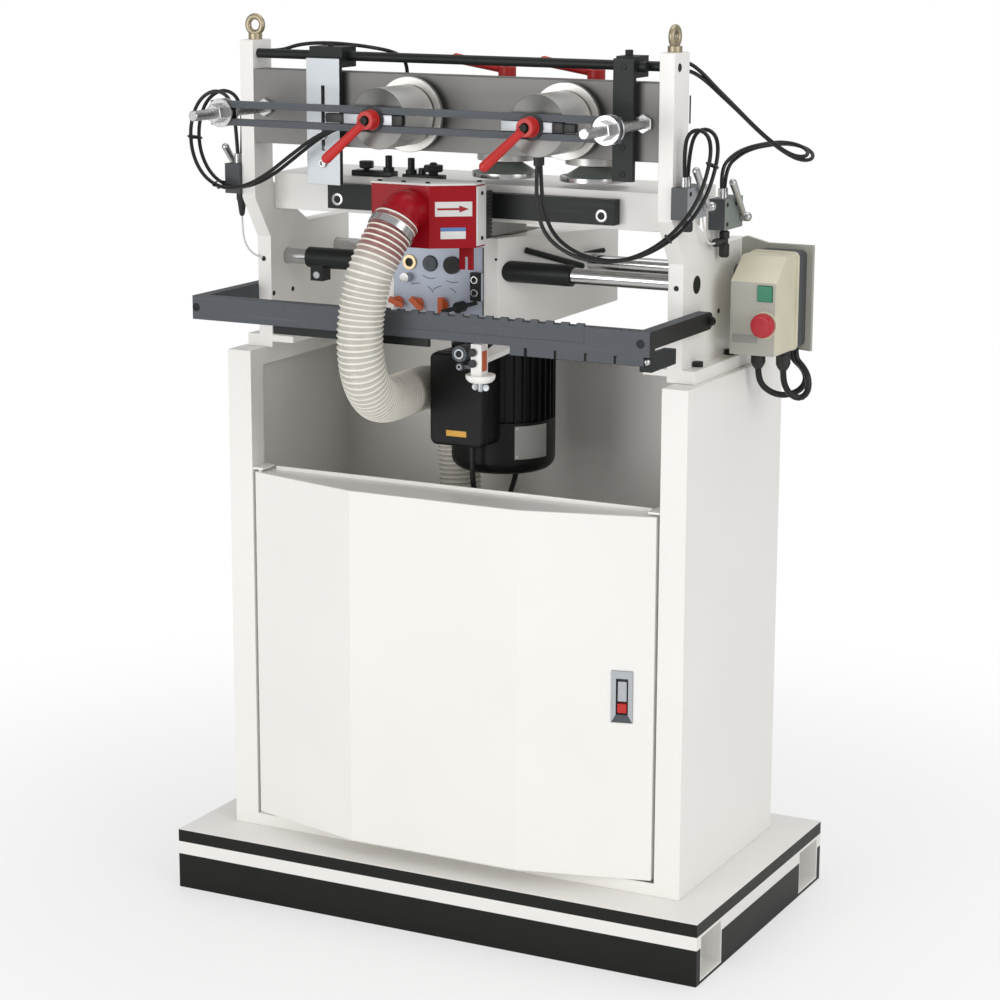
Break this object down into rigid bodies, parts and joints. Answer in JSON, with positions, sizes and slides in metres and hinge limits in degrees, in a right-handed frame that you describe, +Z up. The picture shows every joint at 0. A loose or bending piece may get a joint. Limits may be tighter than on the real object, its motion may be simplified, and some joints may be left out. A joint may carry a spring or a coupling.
{
  "type": "dovetail machine",
  "caption": "Floor-standing woodworking dovetail machine: clamps, finger template and cutter carriage on a cabinet with a fork-lift base, dust hose and motor.",
  "frame": {"origin": "on the floor, under the middle of the base", "axes": "+X to the operator's right, +Y from the operator to the back, +Z up"},
  "size_m": [0.9882, 0.67, 1.459],
  "materials": {
    "white_paint": "satin",
    "base_paint": "satin",
    "red_paint": "gloss",
    "dark_steel": "matt",
    "steel": "brushed",
    "chrome": "polished",
    "aluminium": "satin",
    "motor_black": "satin",
    "cast": "rough",
    "grey_panel": "satin",
    "black_plastic": "satin",
    "red_plastic": "satin",
    "orange_plastic": "satin",
    "green_plastic": "gloss",
    "beige_plastic": "satin",
    "rubber": "matt",
    "hose_plastic": "satin"
  },
  "bodies": {
    "frame": {"pallet_base": "base_paint", "cabinet_shell": "white_paint", "side_plate_left": "white_paint", "side_plate_right": "white_paint", "frame_fasteners": "steel", "clamp_beam": "steel", "front_clamp_studs": "chrome", "front_clamp_bar": "dark_steel", "rear_clamp_frame": "dark_steel", "work_table": "white_paint", "table_front_bar": "dark_steel", "guide_shafts": "chrome", "template_frame": "dark_steel", "template_comb": "dark_steel", "switch_box": "beige_plastic", "switch_cords": "black_plastic", "valve_bodies": "aluminium", "air_tube_left": "black_plastic", "air_tube_right": "black_plastic", "air_tubes_rear": "black_plastic"},
    "door": {"door_panel": "white_paint", "latch_plate": "steel"},
    "latch_button": {"latch_button": "red_plastic"},
    "left_edge_stop": {"left_edge_stop": "steel"},
    "right_edge_stop": {"right_edge_stop": "dark_steel"},
    "carriage": {"carriage_casting": "white_paint", "control_panel": "grey_panel", "carriage_sleeves": "dark_steel", "cross_rods": "chrome", "dust_hose": "hose_plastic", "motor_cord": "black_plastic"},
    "head": {"head_casting": "cast", "drive_belt": "rubber", "motor_body": "motor_black", "chip_hood": "red_paint", "chip_curtain": "rubber", "follower_bracket": "dark_steel"},
    "motor_rotor": {"motor_pulley": "steel"},
    "cutter_spindle": {"spindle": "steel"},
    "panel_lever": {"panel_lever": "dark_steel"},
    "start_button": {"start_button": "green_plastic"},
    "stop_button": {"stop_button": "red_plastic"},
    "selector_knob_left": {"selector_knob_left": "orange_plastic"},
    "selector_knob_middle": {"selector_knob_middle": "orange_plastic"},
    "selector_knob_right": {"selector_knob_right": "orange_plastic"},
    "front_cylinder_left": {"front_cylinder_left": "aluminium"},
    "front_pad_left": {"front_pad_left": "aluminium"},
    "front_lever_left": {"front_lever_left": "red_plastic"},
    "rear_cylinder_left": {"rear_cylinder_left": "aluminium"},
    "rear_pad_left": {"rear_pad_left": "aluminium"},
    "rear_lever_left": {"rear_lever_left": "red_plastic"},
    "front_cylinder_right": {"front_cylinder_right": "aluminium"},
    "front_pad_right": {"front_pad_right": "aluminium"},
    "front_lever_right": {"front_lever_right": "red_plastic"},
    "rear_cylinder_right": {"rear_cylinder_right": "aluminium"},
    "rear_pad_right": {"rear_pad_right": "aluminium"},
    "rear_lever_right": {"rear_lever_right": "red_plastic"},
    "valve_lever_left": {"valve_lever_left": "chrome"},
    "valve_lever_right": {"valve_lever_right": "chrome"},
    "valve_lever_side": {"valve_lever_side": "chrome"}
  },
  "joints": [
    {"name": "door_swing", "type": "hinge", "parent": "frame", "child": "door", "pos_m": [-0.355, -0.183, 0.42], "axis": [0, 0, -1], "range_deg": [0, 90]},
    {"name": "latch_press", "type": "slide", "parent": "door", "child": "latch_button", "axis": [-0.2534, 0.9674, 0], "range_m": [0, 0.004], "stiffness_N_per_m": 300},
    {"name": "left_stop_slide", "type": "slide", "parent": "frame", "child": "left_edge_stop", "axis": [1, 0, 0], "range_m": [-0.07, 0]},
    {"name": "right_stop_slide", "type": "slide", "parent": "frame", "child": "right_edge_stop", "axis": [1, 0, 0], "range_m": [-0.012, 0]},
    {"name": "carriage_travel", "type": "slide", "parent": "frame", "child": "carriage", "axis": [1, 0, 0], "range_m": [-0.035, 0.17]},
    {"name": "head_travel", "type": "slide", "parent": "carriage", "child": "head", "axis": [0, 1, 0], "range_m": [0, 0.045], "deforming": ["dust_hose", "chip_curtain", "motor_cord"]},
    {"name": "motor_spin", "type": "hinge", "parent": "head", "child": "motor_rotor", "pos_m": [0.009, -0.015, 1.05], "axis": [0, 0, 1], "continuous": true},
    {"name": "cutter_spin", "type": "hinge", "parent": "head", "child": "cutter_spindle", "pos_m": [-0.01, -0.235, 1.16], "axis": [0, 0, 1], "continuous": true},
    {"name": "panel_lever_turn", "type": "hinge", "parent": "carriage", "child": "panel_lever", "pos_m": [-0.015, -0.12, 1.005], "axis": [0, 1, 0], "range_deg": [-15, 15]},
    {"name": "start_press", "type": "slide", "parent": "frame", "child": "start_button", "axis": [0, 1, 0], "range_m": [0, 0.003], "stiffness_N_per_m": 300},
    {"name": "stop_press", "type": "slide", "parent": "frame", "child": "stop_button", "axis": [0, 1, 0], "range_m": [0, 0.004], "stiffness_N_per_m": 300},
    {"name": "selector_left_turn", "type": "hinge", "parent": "carriage", "child": "selector_knob_left", "pos_m": [-0.131, -0.12, 1.005], "axis": [0, 1, 0], "range_deg": [-45, 45]},
    {"name": "selector_middle_turn", "type": "hinge", "parent": "carriage", "child": "selector_knob_middle", "pos_m": [-0.094, -0.12, 1.005], "axis": [0, 1, 0], "range_deg": [-45, 45]},
    {"name": "selector_right_turn", "type": "hinge", "parent": "carriage", "child": "selector_knob_right", "pos_m": [-0.049, -0.12, 1.005], "axis": [0, 1, 0], "range_deg": [-45, 45]},
    {"name": "front_clamp_left_slide", "type": "slide", "parent": "frame", "child": "front_cylinder_left", "axis": [1, 0, 0], "range_m": [-0.05, 0.05], "deforming": ["air_tube_left"]},
    {"name": "front_pad_left_press", "type": "slide", "parent": "front_cylinder_left", "child": "front_pad_left", "axis": [0, 1, 0], "range_m": [0, 0.012]},
    {"name": "front_lever_left_turn", "type": "hinge", "parent": "front_cylinder_left", "child": "front_lever_left", "pos_m": [-0.06, -0.335, 1.313], "axis": [0, 1, 0], "range_deg": [-60, 60]},
    {"name": "rear_clamp_left_slide", "type": "slide", "parent": "frame", "child": "rear_cylinder_left", "axis": [1, 0, 0], "range_m": [-0.045, 0.015]},
    {"name": "rear_pad_left_press", "type": "slide", "parent": "rear_cylinder_left", "child": "rear_pad_left", "axis": [0, 0, -1], "range_m": [0, 0.009]},
    {"name": "rear_lever_left_turn", "type": "hinge", "parent": "rear_cylinder_left", "child": "rear_lever_left", "pos_m": [0.054, -0.095, 1.375], "axis": [0, 0, 1], "range_deg": [-20, 20]},
    {"name": "front_clamp_right_slide", "type": "slide", "parent": "frame", "child": "front_cylinder_right", "axis": [1, 0, 0], "range_m": [-0.06, 0], "deforming": ["air_tube_right"]},
    {"name": "front_pad_right_press", "type": "slide", "parent": "front_cylinder_right", "child": "front_pad_right", "axis": [0, 1, 0], "range_m": [0, 0.012]},
    {"name": "front_lever_right_turn", "type": "hinge", "parent": "front_cylinder_right", "child": "front_lever_right", "pos_m": [0.208, -0.335, 1.313], "axis": [0, 1, 0], "range_deg": [-60, 60]},
    {"name": "rear_clamp_right_slide", "type": "slide", "parent": "frame", "child": "rear_cylinder_right", "axis": [1, 0, 0], "range_m": [-0.015, 0.03]},
    {"name": "rear_pad_right_press", "type": "slide", "parent": "rear_cylinder_right", "child": "rear_pad_right", "axis": [0, 0, -1], "range_m": [0, 0.009]},
    {"name": "rear_lever_right_turn", "type": "hinge", "parent": "rear_cylinder_right", "child": "rear_lever_right", "pos_m": [0.207, -0.095, 1.375], "axis": [0, 0, 1], "range_deg": [-20, 20]},
    {"name": "valve_left_turn", "type": "hinge", "parent": "frame", "child": "valve_lever_left", "pos_m": [-0.4123, -0.131, 1.189], "axis": [1, 0, 0], "range_deg": [-20, 20]},
    {"name": "valve_right_turn", "type": "hinge", "parent": "frame", "child": "valve_lever_right", "pos_m": [0.4123, -0.131, 1.189], "axis": [1, 0, 0], "range_deg": [-20, 20]},
    {"name": "valve_side_turn", "type": "hinge", "parent": "frame", "child": "valve_lever_side", "pos_m": [0.4123, 0.014, 1.159], "axis": [1, 0, 0], "range_deg": [-20, 20]}
  ],
  "couplings": [
    {"joint": "cutter_spin", "follows": "motor_spin", "ratio": 1.2222}
  ]
}
